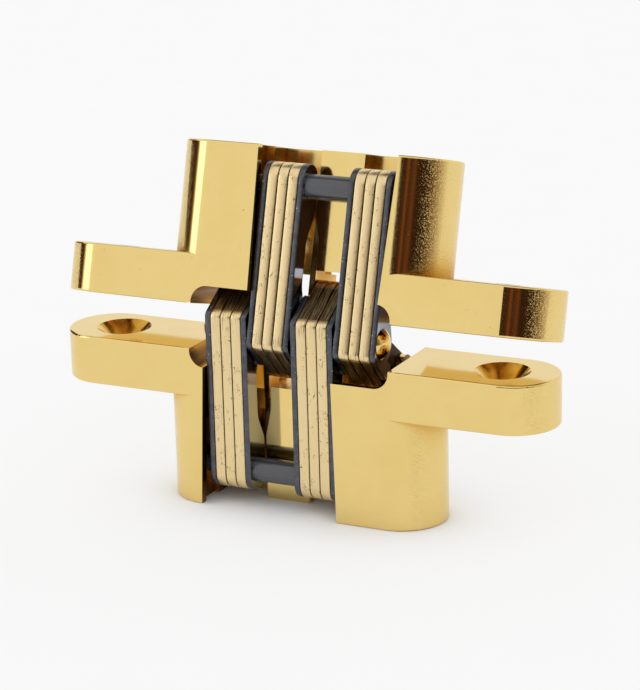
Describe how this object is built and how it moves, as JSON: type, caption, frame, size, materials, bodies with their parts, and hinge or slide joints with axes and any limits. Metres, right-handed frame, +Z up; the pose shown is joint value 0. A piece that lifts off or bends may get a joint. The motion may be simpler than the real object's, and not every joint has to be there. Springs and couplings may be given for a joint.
{
  "type": "concealed door hinge",
  "caption": "Concealed door hinge: polished cast leaves with deep rounded bodies, joined by interleaved stacks of bent link plates that swing and slide in their pockets.",
  "frame": {"origin": "middle of the lower leaf's face, half way between its two screw holes", "axes": "+X along the leaves, +Y towards the opening side, +Z up, out of the lower leaf's face"},
  "size_m": [0.0952, 0.0247, 0.0651],
  "materials": {
    "gold_plating": "mirror-polished brass plating on a zinc casting",
    "link_brass": "pale brushed brass edges with fine scratches along them",
    "dark_steel": "glossy dark grey coating",
    "pin_steel": "satin dark grey"
  },
  "bodies": {
    "lower_leaf": {"lower_leaf": "gold_plating", "lower_pivot_pin_1": "pin_steel", "lower_pivot_pin_2": "pin_steel"},
    "upper_links": {"upper_link_1_side_plate_1": "dark_steel", "upper_link_1_brass_plate_1": "link_brass", "upper_link_1_brass_plate_2": "link_brass", "upper_link_1_brass_plate_3": "link_brass", "upper_link_1_side_plate_2": "dark_steel", "upper_link_2_side_plate_1": "dark_steel", "upper_link_2_brass_plate_1": "link_brass", "upper_link_2_brass_plate_2": "link_brass", "upper_link_2_brass_plate_3": "link_brass", "upper_link_2_side_plate_2": "dark_steel", "center_pin": "gold_plating", "upper_slide_pin": "pin_steel"},
    "lower_links": {"lower_link_1_side_plate_1": "dark_steel", "lower_link_1_brass_plate_1": "link_brass", "lower_link_1_brass_plate_2": "link_brass", "lower_link_1_brass_plate_3": "link_brass", "lower_link_1_side_plate_2": "dark_steel", "lower_link_2_side_plate_1": "dark_steel", "lower_link_2_brass_plate_1": "link_brass", "lower_link_2_brass_plate_2": "link_brass", "lower_link_2_brass_plate_3": "link_brass", "lower_link_2_side_plate_2": "dark_steel", "lower_slide_pin": "pin_steel"},
    "upper_leaf": {"upper_leaf": "gold_plating", "upper_pivot_pin_1": "pin_steel", "upper_pivot_pin_2": "pin_steel"}
  },
  "joints": [
    {"name": "lower_pivot", "type": "hinge", "parent": "lower_leaf", "child": "upper_links", "pos_m": [0, 0.0054, -0.0034], "axis": [-1, 0, 0], "range_deg": [-11.52, 116.5]},
    {"name": "center_pivot", "type": "hinge", "parent": "upper_links", "child": "lower_links", "pos_m": [0, -0.004, 0.00355], "axis": [-1, 0, 0], "range_deg": [-69.3, 6.9]},
    {"name": "upper_pivot", "type": "hinge", "parent": "lower_links", "child": "upper_leaf", "pos_m": [0, 0.00697, 0.0076], "axis": [-1, 0, 0], "range_deg": [-11.6, 116.6]}
  ],
  "couplings": [
    {"joint": "center_pivot", "follows": "lower_pivot", "ratio": -0.594},
    {"joint": "upper_pivot", "follows": "lower_pivot", "ratio": 1}
  ]
}
